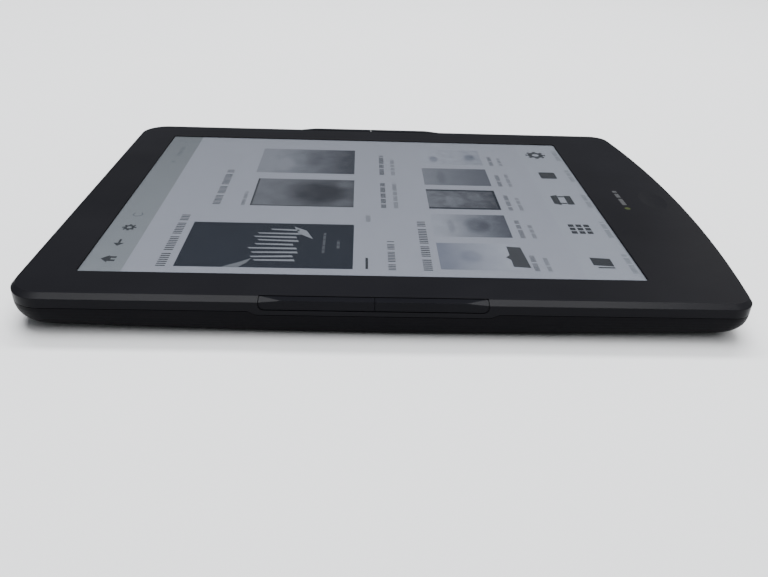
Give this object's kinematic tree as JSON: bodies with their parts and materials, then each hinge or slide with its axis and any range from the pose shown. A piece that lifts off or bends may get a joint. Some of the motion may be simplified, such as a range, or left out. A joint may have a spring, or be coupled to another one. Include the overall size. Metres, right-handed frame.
{
  "type": "e-reader",
  "caption": "Thin six-inch electronic paper reader with a matt bezel, page keys along both long edges, a curved chin with sockets and power button, and a domed rear cover.",
  "frame": {"origin": "bottom centre of the bounding box, on the face the reader rests on when it lies on its back", "axes": "+Z is the screen's outward normal, +Y points to the top of the page, +X to the reader's right"},
  "size_m": [0.114, 0.159, 0.009],
  "materials": {
    "bezel_plastic": "soft-touch moulded dark grey, fine matt texture",
    "cover_plastic": "moulded charcoal, fine matt texture",
    "key_plastic": "moulded dark grey, slightly smoother than the bezel",
    "button_plastic": "moulded black",
    "screen_film": "clear hard-coated film with an anti-glare surface",
    "guide_plastic": "clear light guide",
    "page": "matt electronic paper",
    "panel_glass": "thin glass backplane",
    "chip_black": "moulded chip package",
    "silicon": "bare driver die",
    "flex_amber": "polyimide cable",
    "light_strip": "white coated strip",
    "foam_black": "closed-cell foam",
    "tape_white": "double-sided tape",
    "magnesium": "stamped light alloy sheet",
    "steel": "zinc plated",
    "tin": "tin plated sheet",
    "board_green": "solder mask over glass fibre",
    "ceramic_parts": "chip capacitors and coils",
    "socket_black": "liquid-crystal polymer",
    "connector_cream": "moulded connector body",
    "cell_foil": "laminated pouch",
    "lens_clear": "clear moulded pipe",
    "led_white": "white chip package",
    "print_pale": "pad-printed ink",
    "print_lime": "pad-printed ink",
    "lead_red": "insulated leads"
  },
  "bodies": {
    "housing": {"front_frame": "bezel_plastic", "rear_cover": "cover_plastic", "touch_film": "screen_film", "light_guide": "guide_plastic", "page_layer": "page", "panel_glass": "panel_glass", "display_driver_chip": "silicon", "light_bar": "light_strip", "display_gasket": "foam_black", "panel_adhesive": "tape_white", "display_flex": "flex_amber", "touch_flex": "flex_amber", "light_flex": "flex_amber", "mid_plate": "magnesium", "plate_screws": "steel", "board_screws": "steel", "main_board": "board_green", "processor": "chip_black", "memory_chip": "chip_black", "processor_shield": "tin", "storage_chip": "chip_black", "power_chip": "chip_black", "display_power_chip": "chip_black", "wireless_module": "tin", "antenna_chip": "ceramic_parts", "board_passives": "ceramic_parts", "flex_connectors": "connector_cream", "usb_socket_shell": "tin", "usb_socket_tongue": "socket_black", "card_socket_cover": "tin", "card_socket_base": "socket_black", "power_switch": "tin", "reset_switch": "tin", "status_led": "led_white", "light_pipe": "lens_clear", "battery": "cell_foil", "battery_tape": "tape_white", "battery_lead": "lead_red", "printed_bars": "print_pale", "printed_dot": "print_lime", "cover_foam": "foam_black", "key_switches_left": "tin", "key_flex_left": "flex_amber", "key_switches_right": "tin", "key_flex_right": "flex_amber"},
    "page_key_left_upper": {"page_key_left_upper": "key_plastic", "key_stem_left_upper": "socket_black"},
    "page_key_left_lower": {"page_key_left_lower": "key_plastic", "key_stem_left_lower": "socket_black"},
    "page_key_right_upper": {"page_key_right_upper": "key_plastic", "key_stem_right_upper": "socket_black"},
    "page_key_right_lower": {"page_key_right_lower": "key_plastic", "key_stem_right_lower": "socket_black"},
    "power_button": {"power_button": "button_plastic", "power_switch_stem": "socket_black"},
    "reset_stem": {"reset_switch_stem": "socket_black"}
  },
  "joints": [
    {"name": "left_upper_key_press", "type": "slide", "parent": "housing", "child": "page_key_left_upper", "axis": [1, 0, 0], "range_m": [0, 0.0003], "stiffness_N_per_m": 3000},
    {"name": "left_lower_key_press", "type": "slide", "parent": "housing", "child": "page_key_left_lower", "axis": [1, 0, 0], "range_m": [0, 0.0003], "stiffness_N_per_m": 3000},
    {"name": "right_upper_key_press", "type": "slide", "parent": "housing", "child": "page_key_right_upper", "axis": [-1, 0, 0], "range_m": [0, 0.0003], "stiffness_N_per_m": 3000},
    {"name": "right_lower_key_press", "type": "slide", "parent": "housing", "child": "page_key_right_lower", "axis": [-1, 0, 0], "range_m": [0, 0.0003], "stiffness_N_per_m": 3000},
    {"name": "power_press", "type": "slide", "parent": "housing", "child": "power_button", "axis": [0, 1, 0], "range_m": [0, 0.0004], "stiffness_N_per_m": 2500},
    {"name": "reset_press", "type": "slide", "parent": "housing", "child": "reset_stem", "axis": [0, 1, 0], "range_m": [0, 0.00025], "stiffness_N_per_m": 2000}
  ]
}
